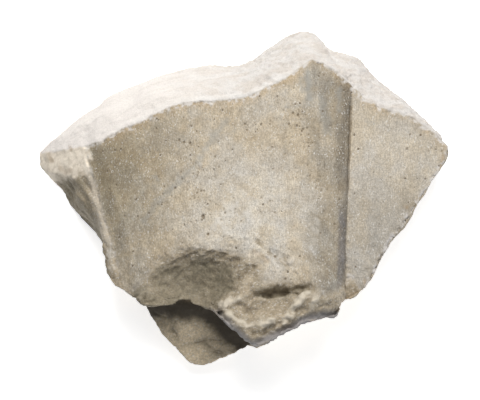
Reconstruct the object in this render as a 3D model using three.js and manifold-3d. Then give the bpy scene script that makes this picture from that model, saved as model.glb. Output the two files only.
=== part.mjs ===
// A broken block of carved marble, lying on its back with the carved face up.
// Millimetres, +Z up, +X to the right of the carved face, +Y towards its freshly broken top.
import * as THREE from "three";
import { mergeVertices } from "three/addons/utils/BufferGeometryUtils.js";
import Module from "manifold-3d";

const { clamp, lerp, smoothstep } = THREE.MathUtils;
const wasm = await Module();
wasm.setup();

// Driving heights above the bed that the block lies on
const FLANGE_HEIGHT = 23.5;
const BODY_HEIGHT = 28;
const CUT_TOP = 60;

// The carved body flares forward towards its lower end and is crowned across its width
const FLARE_START_Y = 40;
const FLARE_LENGTH = 90;
const FLARE_RISE = 14;
const FLARE_POWER = 2.2;
const FLARE_MOST = 1.2;
const FLARE_LEFT_SHARE = 0.4;
const FLARE_LEFT_X = -62;
const FLARE_FULL_X = -2;
const CROWN_LEFT = { x: -12, reach: 46, drop: 8.5, power: 2.5 };
const CROWN_RIGHT = { x: 8, reach: 36, drop: 2.4, power: 2 };

// The groove between the body and the flange, and the rounding of the body down to it
const GROOVE_TOP = { x: 44.1, y: 46.6 };
const GROOVE_FOOT = { x: 40.1, y: -37.7 };
const GROOVE_HALF_WIDTH = 0.5;
const GROOVE_DEPTH = 1.6;
const ROUNDING_TOP = 19;
const ROUNDING_FOOT = 10;

// The left edge of the body, where it rounds down to the broken stump of the other flange
const STUMP_EDGE_TOP = { x: -63.6, y: 25 };
const STUMP_EDGE_FOOT = { x: -52, y: -13.5 };
const STUMP_ROUNDING = 9;
const STUMP_FALL = 1.8;
const STUMP_SLOPE = 0.1;

// The outline all round: each station is a point x, y, z on the front's rim and the foot x, y of its wall
const TOP_BREAK = [
  [-81.6, 21.2, 15, -83.0, 23.5],
  [-76.8, 23.0, 16, -78.6, 29.0],
  [-69.6, 22.6, 17, -73.0, 33.5],
  [-62.8, 24.0, 18, -67.5, 38.5],
  [-56.2, 26.4, 20, -60.4, 43.8],
  [-50.0, 29.2, 22, -54.3, 48.8],
  [-43.9, 31.7, 24, -46.0, 52.7],
  [-35.8, 35.3, 27, -37.7, 56.1],
  [-27.8, 38.2, 28, -29.3, 58.9],
  [-19.0, 39.7, 28, -18.9, 61.4],
  [-9.0, 40.8, 28, -10.5, 62.0],
  [0.0, 41.9, 28, -2.9, 61.2],
  [8.7, 44.7, 28, 4.0, 63.6],
  [15.9, 49.2, 28, 11.0, 69.0],
  [21.9, 52.9, 28, 17.5, 73.6],
  [26.0, 55.0, 28, 23.2, 76.7],
  [30.0, 55.4, 27, 28.8, 77.2],
  [34.0, 53.5, 27, 32.8, 73.3],
  [38.3, 51.4, 26, 37.0, 68.4],
  [42.8, 48.8, 24, 44.1, 66.6],
  [45.2, 46.2, 24, 49.1, 64.6],
  [50.0, 42.1, 24, 52.6, 60.2],
  [55.1, 38.8, 24, 57.0, 54.6],
  [61.9, 36.7, 24, 64.8, 49.8],
  [67.0, 34.6, 24, 70.4, 43.8],
  [73.0, 31.0, 24, 76.6, 36.9],
  [78.4, 26.9, 24, 80.8, 30.2],
];
const RIGHT_EDGE = [
  [82.4, 22.2, 23, 80.4, 22.6],
  [79.7, 16.0, 23, 77.0, 14.2],
  [76.0, 9.9, 24, 72.4, 8.2],
  [70.6, 1.6, 24, 67.2, 0.6],
  [64.9, -6.9, 24, 61.0, -7.2],
  [58.1, -16.1, 24, 54.2, -15.2],
  [54.0, -23.6, 24, 49.8, -21.6],
  [49.6, -31.4, 24, 45.2, -27.6],
  [45.2, -35.8, 24, 41.0, -30.8],
  [40.6, -37.7, 24, 37.4, -32.6],
];
const LOWER_EDGE = [
  [38.5, -39.6, 35, 35.2, -33.6],
  [38.0, -45.2, 38, 31.6, -36.0],
  [32.1, -46.8, 39, 26.2, -38.0],
  [26.4, -46.9, 40, 20.6, -39.8],
  [22.3, -48.9, 41, 15.4, -42.4],
  [16.8, -51.5, 42, 10.2, -46.2],
  [8.4, -55.9, 42, 7.4, -54.0],
];
const TONGUE_EDGE = [
  [4.0, -55.6, 13, 0.6, -52.4],
  [-2.0, -57.4, 11, -3.8, -54.4],
  [-8.0, -60.1, 10, -8.6, -57.2],
  [-13.1, -62.8, 9, -12.6, -59.8],
  [-16.7, -62.4, 9, -16.2, -59.4],
  [-20.7, -60.1, 9, -19.6, -57.2],
  [-24.6, -56.2, 10, -23.4, -53.2],
  [-29.7, -51.2, 12, -28.4, -48.2],
  [-35.3, -44.8, 15, -33.6, -42.0],
  [-36.6, -41.2, 19, -35.2, -38.2],
];
const LEFT_EDGE = [
  [-38.8, -38.2, 26, -37.4, -34.6],
  [-43.5, -35.2, 26, -40.4, -31.6],
  [-48.7, -31.6, 25, -44.6, -28.4],
  [-51.5, -27.4, 24, -47.6, -24.8],
  [-52.3, -21.7, 23, -51.4, -19.8],
  [-52.8, -14.6, 22, -55.4, -13.2],
  [-54.1, -8.4, 21, -58.4, -9.4],
  [-56.1, -2.7, 20, -62.4, -4.4],
  [-59.2, 5.2, 19, -68.2, 1.2],
  [-62.4, 12.4, 18, -71.0, 7.0],
  [-66.4, 16.2, 17, -74.4, 11.4],
  [-73.2, 17.6, 16, -78.4, 15.4],
  [-79.1, 18.4, 15, -82.0, 19.2],
];
const STATIONS = [TOP_BREAK, RIGHT_EDGE, LOWER_EDGE, TONGUE_EDGE, LEFT_EDGE].flat();
const OUTLINE_TENSION = 0.3;
const STEPS_PER_STATION = 2;
const WALL_LEVELS = 9;
const WALL_RELIEF = 1.4;
const WALL_RELIEF_SIZE = 9;
const EDGE_RELIEF = 0.7;
const EDGE_RELIEF_SIZE = 4.5;
const BREAK_ROUNDING = 1.4;
const BREAK_LEAN = 10;

// The recess at the lower end: the edge of the lip above it and the floor, which is the face of the tongue
const LIP = [
  [-46.0, -38.4, 26],
  [-36.1, -40.6, 29],
  [-30.1, -41.3, 30],
  [-25.8, -40.6, 29],
  [-20.6, -40.0, 27.5],
  [-15.2, -41.0, 27],
  [-10.3, -42.8, 29],
  [-7.2, -46.0, 32],
  [-2.3, -50.5, 37],
  [3.9, -56.6, 42],
  [8.5, -61.2, 42],
];
const RECESS_REACH = 34;
const LIP_UNDERCUT = 4.5;
const TONGUE_TIP = { y: -62.6, z: 8 };
const TONGUE_SLOPE = 0.5;
const TONGUE_FACET_X = -29;
const TONGUE_FACET_SLOPE = 0.35;
const TONGUE_RELIEF = 0.9;

// Hollows that blows left: centre, radii, relief of the broken surface, and a turn about Z in degrees
const HOLLOWS = [
  { centre: [-18, -31, 38.2], radii: [19.5, 14.5, 12.5], relief: 1.6, turn: 4 },
  { centre: [15.8, -41.2, 44.6], radii: [14, 8.4, 10], relief: 1.2, turn: -4 },
  { centre: [1, -50, 51], radii: [14, 8.5, 13], relief: 0.8, turn: -38 },
  { centre: [24.2, -43, 43], radii: [2.8, 5, 6.5], relief: 0.6, turn: -35 },
  { centre: [32, -53.5, 48.5], radii: [13, 16, 16], relief: 1.0, turn: 0 },
  { centre: [-26, -18.5, 34.4], radii: [5, 2.4, 3], relief: 0.4, turn: 15 },
  { centre: [12, -23, 37.2], radii: [15, 6, 4], relief: 0.8, turn: 8 },
  { centre: [-54.5, -23, 29], radii: [5, 8, 8], relief: 0.9, turn: 0 },
];
const HOLLOW_DETAIL = 9;
const RELIEF_SIZE = 7;

// A shallow hollow worked into the back, so that the block rests on the ring of stone round it
const BACK_HOLLOW = { centre: [2, 12, -22], radii: [84, 52, 24.5], relief: 0.8, turn: 12 };

// A repeatable number between 0 and 1 for each point of a whole-number grid
function gridValue(i, j, k) {
  const mixed = Math.sin(i * 127.1 + j * 311.7 + k * 74.7) * 43758.5453;
  return mixed - Math.floor(mixed);
}

// Smooth relief between -1 and 1 that changes over the given size
function relief(x, y, z, size) {
  const point = [x / size, y / size, z / size];
  const cell = point.map(Math.floor);
  const share = point.map((value, axis) => smoothstep(value - cell[axis], 0, 1));
  let sum = 0;
  for (const a of [0, 1]) {
    for (const b of [0, 1]) {
      for (const c of [0, 1]) {
        const weight =
          (a ? share[0] : 1 - share[0]) *
          (b ? share[1] : 1 - share[1]) *
          (c ? share[2] : 1 - share[2]);
        sum += weight * gridValue(cell[0] + a, cell[1] + b, cell[2] + c);
      }
    }
  }
  return 2 * sum - 1;
}

// A closed geometry with each vertex moved by place(x, y, z), as a solid that can be joined and cut
function solidFrom(geometry, place) {
  const bare = geometry.index ? geometry.toNonIndexed() : geometry.clone();
  bare.deleteAttribute("normal");
  bare.deleteAttribute("uv");
  const merged = mergeVertices(bare, 1e-5);
  const position = merged.attributes.position;
  for (let i = 0; i < position.count; i++) {
    position.setXYZ(i, ...place(position.getX(i), position.getY(i), position.getZ(i)));
  }
  return new wasm.Manifold(
    new wasm.Mesh({
      numProp: 3,
      vertProperties: new Float32Array(position.array),
      triVerts: new Uint32Array(merged.index.array),
    }),
  );
}

// The x of a slanting line through two points at the given y
function lineX(from, to, y) {
  return lerp(from.x, to.x, (from.y - y) / (from.y - to.y));
}

// How far a quarter-round edge has fallen at a distance from its foot, from 1 at the foot to 0 at its width
function roundedFall(distance, width) {
  const share = clamp(1 - distance / width, 0, 1);
  return 1 - Math.sqrt(1 - share * share);
}

// How far the crowned body has fallen at a distance outward from where it begins to fall
function crownFall(outward, { reach, drop, power }) {
  return drop * Math.pow(Math.max(0, outward) / reach, power);
}

// The smooth face of the projecting body
function bodyHeight(x, y) {
  const down = clamp((FLARE_START_Y - y) / FLARE_LENGTH, 0, FLARE_MOST);
  const leftShare = lerp(FLARE_LEFT_SHARE, 1, smoothstep(x, FLARE_LEFT_X, FLARE_FULL_X));
  const flare = FLARE_RISE * leftShare * Math.pow(down, FLARE_POWER);
  const leftFall = crownFall(CROWN_LEFT.x - x, CROWN_LEFT);
  const rightFall = crownFall(x - CROWN_RIGHT.x, CROWN_RIGHT);
  return BODY_HEIGHT + flare - leftFall - rightFall;
}

// The carved front: stump, body, groove and flange, from left to right
function frontHeight(x, y) {
  const stumpEdge = lineX(STUMP_EDGE_TOP, STUMP_EDGE_FOOT, y);
  const groove = lineX(GROOVE_TOP, GROOVE_FOOT, y);
  if (x > groove) {
    return FLANGE_HEIGHT;
  }
  const down = clamp((GROOVE_TOP.y - y) / (GROOVE_TOP.y - GROOVE_FOOT.y), 0, 1);
  const body = bodyHeight(x, y);
  const rightFall = roundedFall(groove - x, lerp(ROUNDING_TOP, ROUNDING_FOOT, down));
  const leftFall = roundedFall(x - stumpEdge, STUMP_ROUNDING);
  const outward = Math.max(0, stumpEdge - x);
  return lerp(body, FLANGE_HEIGHT, rightFall) - STUMP_FALL * leftFall - STUMP_SLOPE * outward;
}

// The columns of the front's grid, as distances from the groove, closer where the body rounds down to it
function frontColumns() {
  const columns = [-GROOVE_HALF_WIDTH, 0, GROOVE_HALF_WIDTH];
  let reach = GROOVE_HALF_WIDTH;
  for (let step = 0.7; reach < 130; step = Math.min(step * 1.3, 3.6)) {
    reach += step;
    columns.unshift(-reach);
  }
  for (let x = 6; x <= 48; x += 6) {
    columns.push(x);
  }
  return columns;
}

// The rows of the front's grid, with one long last row behind the broken top
function frontRows() {
  const rows = [];
  for (let y = -66; y <= 60; y += 3.6) {
    rows.push(y);
  }
  rows.push(90);
  return rows;
}

// Everything below the carved front, as a box whose top is the front's height at each point
function makeFront() {
  const columns = frontColumns();
  const rows = frontRows();
  const box = new THREE.BoxGeometry(1, 1, 1, columns.length - 1, rows.length - 1, 1);
  return solidFrom(box, (u, v, w) => {
    const column = Math.round((u + 0.5) * (columns.length - 1));
    const y = rows[Math.round((v + 0.5) * (rows.length - 1))];
    const x = lineX(GROOVE_TOP, GROOVE_FOOT, y) + columns[column];
    const cut = columns[column] === 0 ? GROOVE_DEPTH : 0;
    const z = w > 0 ? frontHeight(x, y) - cut : -30;
    return [x, y, z];
  });
}

// The broken walls all round, from the bed up past the front
function makeWalls() {
  const rimPoints = STATIONS.map(([x, y, z]) => new THREE.Vector3(x, y, z));
  const footPoints = STATIONS.map(([, , , x, y]) => new THREE.Vector3(x, y, 0));
  const rim = new THREE.CatmullRomCurve3(rimPoints, true, "catmullrom", OUTLINE_TENSION);
  const foot = new THREE.CatmullRomCurve3(footPoints, true, "catmullrom", OUTLINE_TENSION);
  const cylinder = new THREE.CylinderGeometry(
    1,
    1,
    1,
    STATIONS.length * STEPS_PER_STATION,
    WALL_LEVELS,
  );
  return solidFrom(cylinder, (u, v, w) => {
    const level = (v + 0.5) * WALL_LEVELS;
    const top = level > WALL_LEVELS - 0.5;
    if (Math.hypot(u, w) < 0.5) {
      return [0, 0, top ? CUT_TOP : 0];
    }
    const at = (Math.atan2(w, u) / (2 * Math.PI) + 1) % 1;
    const high = rim.getPoint(at);
    const low = foot.getPoint(at);
    const climb = clamp(level / (WALL_LEVELS - 1), 0, 1);
    const lean = Math.hypot(low.x, low.y) - Math.hypot(high.x, high.y);
    const rounding = lerp(1, BREAK_ROUNDING, smoothstep(lean, 0, BREAK_LEAN));
    const point = new THREE.Vector3().lerpVectors(low, high, climb);
    point.z = high.z * (1 - Math.pow(1 - climb, rounding));
    const { x, y, z } = point;
    const ragged = EDGE_RELIEF * relief(x, y, z, EDGE_RELIEF_SIZE);
    const push = ragged + Math.sin(Math.PI * climb) * WALL_RELIEF * relief(x, y, z, WALL_RELIEF_SIZE);
    const out = new THREE.Vector2(x, y).normalize().multiplyScalar(push);
    return [x + out.x, y + out.y, top ? CUT_TOP : z];
  });
}

// The height of the tongue's broken face
function tongueHeight(x, y) {
  const slope = TONGUE_TIP.z + TONGUE_SLOPE * (y - TONGUE_TIP.y);
  const facet = TONGUE_FACET_SLOPE * Math.max(0, TONGUE_FACET_X - x);
  return slope - facet + TONGUE_RELIEF * relief(x, y, 0, RELIEF_SIZE);
}

// What broke away in front of the tongue, with its wall cut back under the lip
function makeRecess() {
  const lip = new THREE.CatmullRomCurve3(
    LIP.map((point) => new THREE.Vector3(...point)),
    false,
    "catmullrom",
    OUTLINE_TENSION,
  );
  const box = new THREE.BoxGeometry(1, 1, 1, 26, 9, 6);
  return solidFrom(box, (u, v, w) => {
    const edge = lip.getPoint(clamp(u + 0.5, 0, 1));
    const out = 0.5 - v;
    const floor = tongueHeight(edge.x, edge.y - out * RECESS_REACH);
    const level = w + 0.5;
    const z = level > 0.99 ? CUT_TOP : lerp(floor, edge.z, level / 0.84);
    const depth = clamp(1 - level / 0.84, 0, 1);
    const back = LIP_UNDERCUT * Math.sqrt(depth) * (1 - out);
    return [edge.x, edge.y - out * RECESS_REACH + back, z];
  });
}

// A hollow left by a blow, as a rough ellipsoid to be cut away
function makeHollow({ centre, radii, relief: depth, turn }) {
  const angle = THREE.MathUtils.degToRad(turn);
  const ball = new THREE.IcosahedronGeometry(1, HOLLOW_DETAIL);
  return solidFrom(ball, (u, v, w) => {
    const local = new THREE.Vector3(u * radii[0], v * radii[1], w * radii[2]);
    const size = 1 + (depth * relief(local.x + centre[0], local.y, local.z, RELIEF_SIZE)) / radii[2];
    local.multiplyScalar(size).applyAxisAngle(new THREE.Vector3(0, 0, 1), angle);
    return [local.x + centre[0], local.y + centre[1], local.z + centre[2]];
  });
}

function makeStone() {
  let stone = makeWalls().intersect(makeFront()).subtract(makeRecess());
  for (const hollow of [...HOLLOWS, BACK_HOLLOW]) {
    stone = stone.subtract(makeHollow(hollow));
  }
  const { vertProperties, triVerts } = stone.getMesh();
  const geometry = new THREE.BufferGeometry();
  geometry.setAttribute("position", new THREE.BufferAttribute(vertProperties, 3));
  geometry.setIndex(new THREE.BufferAttribute(triVerts, 1));
  geometry.computeBoundingBox();
  const middle = geometry.boundingBox.getCenter(new THREE.Vector3());
  geometry.translate(-middle.x, -middle.y, -geometry.boundingBox.min.z);
  geometry.computeVertexNormals();
  return geometry;
}

const marble = new THREE.MeshStandardMaterial({ color: 0xcbc1ae, roughness: 0.72, metalness: 0 });
const block = new THREE.Mesh(makeStone(), marble);
block.name = "marble_block";

const group = new THREE.Group();
group.add(block);

export default group;
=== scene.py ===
# A broken block of carved marble, lying on its back on a pale floor and seen from almost straight above.
import math
import bmesh
import bpy
import numpy as np
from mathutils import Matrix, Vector
from mathutils.kdtree import KDTree


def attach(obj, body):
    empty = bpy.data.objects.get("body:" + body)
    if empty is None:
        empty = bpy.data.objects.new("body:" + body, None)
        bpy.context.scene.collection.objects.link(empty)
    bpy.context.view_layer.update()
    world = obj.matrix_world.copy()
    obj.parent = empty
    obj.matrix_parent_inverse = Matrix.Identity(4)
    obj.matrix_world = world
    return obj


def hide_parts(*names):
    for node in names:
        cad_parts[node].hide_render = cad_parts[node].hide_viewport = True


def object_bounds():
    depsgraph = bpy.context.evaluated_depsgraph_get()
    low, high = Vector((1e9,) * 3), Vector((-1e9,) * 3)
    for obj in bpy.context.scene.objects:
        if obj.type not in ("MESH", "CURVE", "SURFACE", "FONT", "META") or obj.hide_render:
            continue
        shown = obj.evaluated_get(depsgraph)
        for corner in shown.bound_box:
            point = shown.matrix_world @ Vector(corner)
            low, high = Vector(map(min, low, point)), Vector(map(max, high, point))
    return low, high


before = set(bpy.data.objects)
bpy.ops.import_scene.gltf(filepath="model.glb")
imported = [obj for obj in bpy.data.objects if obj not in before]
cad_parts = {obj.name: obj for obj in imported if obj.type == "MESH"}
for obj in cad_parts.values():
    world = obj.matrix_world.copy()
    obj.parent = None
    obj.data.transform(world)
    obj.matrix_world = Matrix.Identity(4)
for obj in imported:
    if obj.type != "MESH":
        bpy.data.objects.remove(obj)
cad_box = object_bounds()

# Lengths are in millimetres until a mesh is written, which is in metres
MM = 0.001
NODE = "marble_block"

# The carved front is drawn in its own millimetres, and this is where the frame's middle lies in them
DRAWING_MIDDLE = (0.11, 7.51)

# Camera: almost straight above, looking a little towards the top break
PHOTO_SIZE = (480, 400)
LENS = 101.5
SENSOR = 36.0
CAMERA_DISTANCE = 520.0
CAMERA_ELEVATION = math.radians(80)
CAMERA_AIM = np.array([-0.11, -7.51, 30.0])

# Heights and roundings of the carved front
FLANGE_HEIGHT = 23.5
BODY_HEIGHT = 28.0
FLARE_START_Y = 40.0
FLARE_LENGTH = 90.0
FLARE_RISE = 14.0
FLARE_POWER = 2.2
FLARE_LEFT_SHARE = 0.4
FLARE_LEFT_X = -62.0
FLARE_FULL_X = -2.0
FLARE_MOST = 1.2
CROWN_LEFT = {"x": -12.0, "reach": 46.0, "drop": 8.5, "power": 2.5}
CROWN_RIGHT = {"x": 8.0, "reach": 36.0, "drop": 2.4, "power": 2.0}
GROOVE_TOP = (44.1, 46.6)
GROOVE_FOOT = (40.1, -37.7)
GROOVE_REACH = 1.2
GROOVE_END_Y = 42.0
GROOVE_DEPTH = 0.9
GROOVE_HALF_WIDTH = 0.75
ROUNDING_TOP = 19.0
ROUNDING_FOOT = 10.0
STUMP_EDGE_TOP = (-63.6, 25.0)
STUMP_EDGE_FOOT = (-52.0, -13.5)
STUMP_ROUNDING = 9.0
STUMP_FALL = 1.8
STUMP_SLOPE = 0.1
STRIP_WIDTH = 3.0

# Mesh sizes
GRID = 0.5
MOST_TRIANGLES = 194000
SMOOTHING_ROUNDS = 12
SMOOTHING_PUSH = 1.04

# The breaks of the lower front: pixels of the photograph, and how far below the carved front they lie
BREAK_DEPTHS = [
    # Untouched front round them
    (120, 262, 0), (132, 274, 0), (140, 266, 0), (150, 257, 0), (163, 250, 0), (178, 243, 0),
    (197, 241, 0), (212, 242, 0), (226, 239, 0), (245, 235, 0), (265, 240, 0.2), (285, 247, 0),
    (305, 258, 0), (320, 272, 0), (330, 286, 0), (322, 292, 0.3), (126, 288, 0.2), (298, 274, 0.3),
    # Upper rim and wall of the large scoop
    (146, 272, 0.4), (149, 268, 0.4), (158, 262, 0.5), (172, 255, 0.5), (186, 249.5, 0.5), (197, 248, 0.5),
    (209, 249.5, 0.6), (219, 253, 0.9), (232, 255, 0.9), (246, 258, 0.7), (154, 276, 2.4), (162, 271, 3.2),
    (174, 264, 3.8), (186, 259, 4.0), (197, 257.5, 4.0), (209, 259, 4.0), (221, 263, 3.8), (233, 266, 2.8),
    (245, 268, 2.0), (258, 272, 1.4),
    # Its floor, which turns up towards the lip
    (180, 275, 7.2), (197, 272, 7.6), (212, 275, 7.6), (225, 277, 5.8), (236, 279, 4.0), (246, 281, 2.6),
    (165, 285, 6.4), (180, 288, 10.0), (197, 286, 10.8), (210, 290, 10.4), (222, 291, 8.0), (234, 290, 5.0),
    (138, 283, 0.5), (146, 288, 2.2), (133, 294, 1.0), (141, 300, 2.4), (150, 300, 2.0), (160, 302, 4.0),
    (172, 301, 7.2), (186, 302, 9.8), (200, 304, 10.3), (211, 308, 8.3), (219, 315, 5.7), (233, 326, 3.4),
    (249, 340, 3.4),
    # Boss between the two scoops
    (225, 302, 5.0), (238, 298, 3.2), (250, 293.5, 2.2), (232, 310, 4.6), (240, 316, 4.6), (250, 320, 4.0),
    (258, 328, 3.6), (256, 336, 4.6), (243, 305, 4.2), (252, 303, 4.0), (268, 328, 4.6), (278, 323, 4.6),
    # Slit, floor and ridge of the small scoop
    (258, 286, 1.4), (266, 285, 1.1), (277, 282, 0.9), (290, 283, 0.9), (305, 285, 0.6), (314, 287, 0.3),
    (268, 291, 3.2), (284, 290, 3.4), (298, 289, 2.4), (259, 296, 4.8), (270, 297, 5.6), (284, 297, 5.6),
    (297, 294, 4.6), (308, 291, 2.2), (262, 305, 5.2), (275, 306, 5.0), (287, 303, 4.8), (280, 311, 4.2),
    (268, 314, 4.4), (272, 319, 3.2), (280, 316, 2.6), (288, 311.5, 2.0), (296, 306, 1.6), (304, 299, 1.0),
    (310, 294, 0.7), (286, 320, 4.2), (296, 314, 4.0), (303, 306, 3.2), (300, 311, 4.2),
    # Facet at the lower right corner
    (312, 300, 1.2), (318, 306, 3.0), (310, 311, 4.2), (328, 308, 3.6), (322, 313, 4.8), (336, 311, 5.0),
    (330, 298, 1.2), (338, 300, 2.0),
]
# The edge along the top where the carved front breaks off, and how steeply the new break falls beyond it
TOP_EDGE = [
    (83, 147), (100, 142), (117, 132), (130, 127), (142, 121.5), (155, 114), (170, 107), (188, 102.5),
    (205, 101), (230, 101), (247, 97), (262, 90), (283, 80), (300, 68), (313, 57.5), (333, 70), (347, 81),
    (351, 85), (365, 99), (380, 107), (395, 112), (410, 116), (430, 130), (445, 143),
]
TOP_EDGE_SLOPE = 0.5
TOP_EDGE_RAGGED = 0.45
# The row of breaks across the lower front, how far they reach, and the bevel along their foot
BREAK_PATH = ((165, 280), (240, 290), (305, 298))
BREAK_HALF_WIDTH = 24.0
BREAK_REACH = 12.0
LOWEST_BREAK = 23.0
FOOT_DEPTH = 5.0
FOOT_BEVEL = 2.0
FOOT_BEVEL_WIDTH = 2.7
# Ridges and furrows in these breaks: pixels along each, half width, and height above the web of depths
BREAK_STROKES = [
    (((284, 321), (291, 311), (299, 302), (308, 295)), 1.2, 1.5),
    (((301, 315), (305, 306), (309, 298)), 0.8, -1.2),
    (((306, 313), (312, 304), (317, 295)), 0.9, 0.9),
    (((266, 295), (275, 294), (283, 293)), 1.0, -1.4),
    (((250, 298), (262, 294), (283, 291), (300, 288), (315, 289)), 1.2, -1.1),
    (((256, 300), (272, 300), (290, 297)), 0.7, 0.5),
    (((258, 307), (272, 309), (286, 305)), 2.0, -0.7),
    (((223, 305), (229, 302), (238, 299)), 1.2, 1.2),
    (((227, 314), (235, 319), (246, 326), (259, 328), (272, 321)), 1.1, 1.0),
    (((240, 307), (248, 312)), 1.5, -1.1),
    (((250, 331), (262, 333), (272, 329)), 0.9, -0.9),
    (((314, 302), (322, 305), (331, 305)), 2.2, 0.35),
    (((232, 290), (240, 293), (249, 291)), 0.7, -0.6),
    (((212, 262), (222, 258), (238, 262)), 0.8, -0.5),
    (((226, 284), (240, 279), (256, 268)), 0.7, -0.6),
    (((258, 244), (266, 250), (270, 257)), 0.6, -0.5),
    (((276, 262), (286, 266), (296, 274)), 0.7, -0.4),
]
# The wandering rims of the breaks, the facet next to the new break, and the middle of the scoop's ripples
RIM_WANDER = 0.7
RIM_WANDER_SIZE = 6.0
CREASE_WIDTH = 3.0
CREASE_STEP = 0.45
RIPPLE_MIDDLE = (222, 318)
# The edge where the lower front breaks off, above the recess and then along the foot
FOOT_EDGE = [
    (148, 305), (172, 304), (200, 305.6), (216, 312), (232, 328), (249, 345), (264, 341), (288, 330),
    (311, 318), (340, 315),
]
# Where the bevel begins and is full, along x
BEVEL_START = (-14.0, -4.0)
# Cracks in the tongue below the lip: pixels along each, half width and depth
TONGUE_HEIGHT = 12.0
TONGUE_TOP = 21.0
TONGUE_CRACKS = [
    (((184, 345), (196, 344), (208, 340), (220, 340)), 0.5, 0.3),
    (((203, 342), (212, 349), (220, 352)), 0.5, 0.3),
    (((176, 322), (172, 330), (178, 341)), 0.4, 0.25),
    (((150, 312), (166, 318)), 0.4, 0.3),
]
# Path of the painted shadow in the corner under the lip, as pixels along it
TONGUE_SHADOW = ((150, 309), (165, 307), (200, 310), (216, 319), (232, 334), (244, 346))

# Pits seen on the face: pixel of the photograph, and radius
PITS = [
    ((203, 216.5), 0.75), ((190, 143), 0.5), ((179, 140), 0.45), ((184, 142), 0.5), ((215, 157), 0.4),
    ((193, 164), 0.35), ((198, 172), 0.35), ((204, 172), 0.3), ((181, 172), 0.4), ((196, 178), 0.35),
    ((182, 179), 0.4), ((187, 184), 0.35), ((197, 193), 0.4), ((201, 191), 0.45), ((204, 191), 0.4),
    ((175, 188), 0.45), ((205, 203), 0.35), ((192, 206), 0.35), ((225, 213), 0.4), ((221, 220), 0.35),
    ((241, 221), 0.4), ((191, 222), 0.35), ((196, 221), 0.35), ((184, 225), 0.4), ((162, 203), 0.3),
    ((167, 203), 0.3), ((293, 113), 0.5), ((298, 115), 0.5), ((289, 124), 0.45), ((303, 129), 0.45),
    ((307, 128), 0.4), ((302, 131), 0.5), ((270, 124), 0.4), ((245, 124), 0.45), ((247, 130), 0.4),
    ((308, 143), 0.35), ((285, 154), 0.35), ((273, 169), 0.35), ((295, 168), 0.35), ((336, 165), 0.35),
    ((327, 170), 0.3), ((310, 176), 0.35), ((316, 188), 0.35), ((270, 201), 0.35), ((261, 198), 0.35),
    ((442, 151), 0.4), ((436, 147), 0.3), ((208, 234), 0.55), ((275, 256), 0.6),
]

# Marks on the stone: pixels of the photograph along each, its half width and its strength
VEINS = [
    (((228, 118), (215, 135), (195, 165), (175, 185), (155, 205), (145, 220)), 1.9, 0.4),
    (((155, 176), (159, 181)), 1.4, 0.5),
    (((307, 70), (309, 98)), 1.8, 0.65),
    (((300, 78), (303, 92)), 1.2, 0.4),
    (((322, 100), (325, 130)), 3.0, 0.35),
    (((340, 88), (338, 110)), 1.6, 0.5),
    (((271, 106), (288, 107), (313, 105)), 0.35, 0.6),
    (((368, 120), (373, 123)), 1.6, 0.3),
    (((371, 208), (375, 211), (379, 208)), 0.5, 0.35),
    (((392, 195), (400, 190)), 0.3, 0.3),
    (((200, 150), (215, 140), (235, 130)), 1.6, 0.22),
]
PALE_PATCHES = [
    (((216, 230), (232, 215), (242, 198)), 5.0, 0.45),
    (((313, 250), (316, 222)), 1.8, 0.4),
    (((195, 160), (205, 155)), 3.2, 0.3),
    (((110, 252), (113, 268)), 1.6, 0.45),
    (((262, 252), (284, 268), (296, 262)), 2.4, 0.35),
    (((350, 238), (362, 258)), 2.0, 0.12),
    (((225, 150), (250, 160)), 3.0, 0.16),
]
STAINS = [
    (((49, 154), (50, 158), (52, 161)), 1.0, 0.75),
    (((40, 163), (44, 168)), 0.7, 0.4),
    (((69, 146), (71, 150)), 0.9, 0.6),
    (((60, 168), (66, 172), (72, 170)), 1.2, 0.35),
    (((440, 168), (444, 155)), 0.9, 0.55),
    (((364, 281), (366, 285)), 1.2, 0.5),
    (((406, 206), (407, 208)), 0.45, 0.8),
    (((252, 250), (262, 256), (268, 262)), 1.6, 0.3),
]
ROUGH_BAND = ((240, 246), (262, 256), (290, 266))
SCOOP_PATH = ((165, 281), (200, 273), (220, 279), (205, 291), (170, 290))
SLIT_PATH = ((262, 292), (285, 292), (305, 290))
LEFT_LIP_PATH = ((140, 297), (152, 301), (166, 300))
CHIP_SHARE = 0.85

# Where the front's tones and painted shade begin and are full, along the drawing's x or y, and the middle and
# reach of the wear and painted light
DIRT_AND_SHADE_ACROSS = (-12, -52)
DIRT_AND_SHADE_THINS = (-2, -18)
SMOKE_AND_SHADE_ACROSS = (18, 38)
SMOKE_AND_SHADE_UP = (-12, 34)
LOW_SMOKE_AND_SHADE_ACROSS = (20, 34)
LOW_SMOKE_AND_SHADE_DOWN = (10, -12)
COOL_SHADE_DOWN = (2, -8)
GROOVE_SHADE_UP = (-8, 10)
WORN_MIDDLE = (4, -8)
WORN_REACH = (36, 34)

# Furrows of the point chisel on the bed
FURROW_SLANT = (0.8, 0.6)
FURROW_SPACING = 1.1
FURROW_DEPTH = 0.5

# Small pits, half of them scattered near those seen and the others over an area of the photograph
PIT_SEED = 11
PIT_AREA = ((95, 70), (345, 275))
NEAR_SEEN_SHARE = 0.5
NEAR_SEEN_SPREAD = 9
SMALL_PITS = 420
SMALL_PIT_RADII = (0.16, 0.36)
PIT_DEPTH = 1.3
PIT_STRETCH = 1.35
# Shift of a pinhole copy that paints a pale highlight on the lower rim of each pinhole, where light from
# above falls
PIT_HIGHLIGHT_SHIFT = 0.4

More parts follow.
